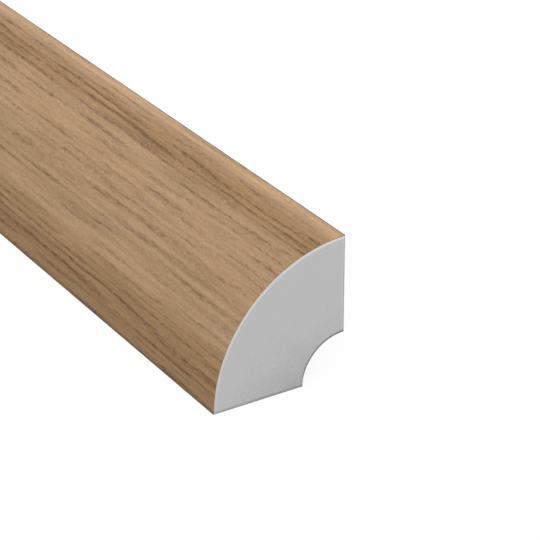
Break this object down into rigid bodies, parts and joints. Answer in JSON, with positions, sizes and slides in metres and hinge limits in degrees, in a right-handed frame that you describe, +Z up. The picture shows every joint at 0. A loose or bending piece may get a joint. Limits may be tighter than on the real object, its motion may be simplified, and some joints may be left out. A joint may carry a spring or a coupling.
{
  "type": "quarter round moulding",
  "caption": "Straight quarter round trim for the corner between floor and wall: convex wood-look face, flat base and back, hollow inner corner.",
  "frame": {"origin": "middle of the base: half way along the length and the depth, on the floor plane", "axes": "+X along the stock, +Y towards the wall, +Z up"},
  "size_m": [2.388, 0.0186, 0.019],
  "materials": {
    "vinyl_core": "matt light grey rigid vinyl, sawn ends",
    "wood_film": "matt wood-grain print, tan oak with darker streaks along the length"
  },
  "bodies": {
    "root": {"core": "vinyl_core", "decor_film": "wood_film"}
  },
  "joints": []
}
